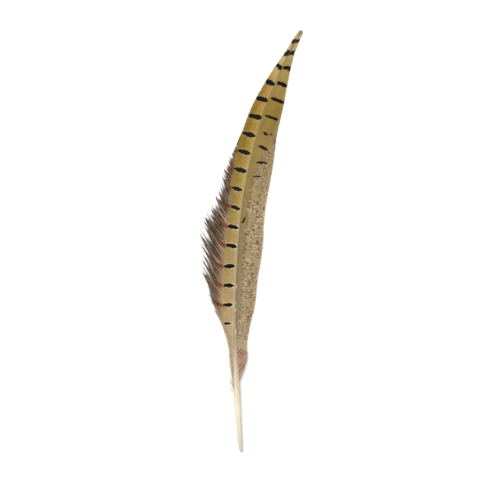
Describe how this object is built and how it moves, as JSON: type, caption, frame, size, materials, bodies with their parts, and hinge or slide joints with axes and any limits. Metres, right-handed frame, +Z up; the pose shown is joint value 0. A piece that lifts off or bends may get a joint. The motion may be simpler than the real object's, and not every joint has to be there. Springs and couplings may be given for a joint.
{
  "type": "pheasant tail feather",
  "caption": "Loose tail feather lying upper side up: dark-barred buff vanes, one with a ragged fringe, on a bowed pale quill.",
  "frame": {"origin": "below the middle of the feather's box, on the surface that it lies on", "axes": "+Y from the quill's end towards the tip, +X towards the wide vane, +Z up through the upper side"},
  "size_m": [0.0512, 0.3001, 0.0066],
  "materials": {
    "vane": "matt, finely ribbed barbs",
    "shaft": "satin, slightly see-through horn"
  },
  "bodies": {
    "root": {"feather": "vane"}
  },
  "joints": []
}
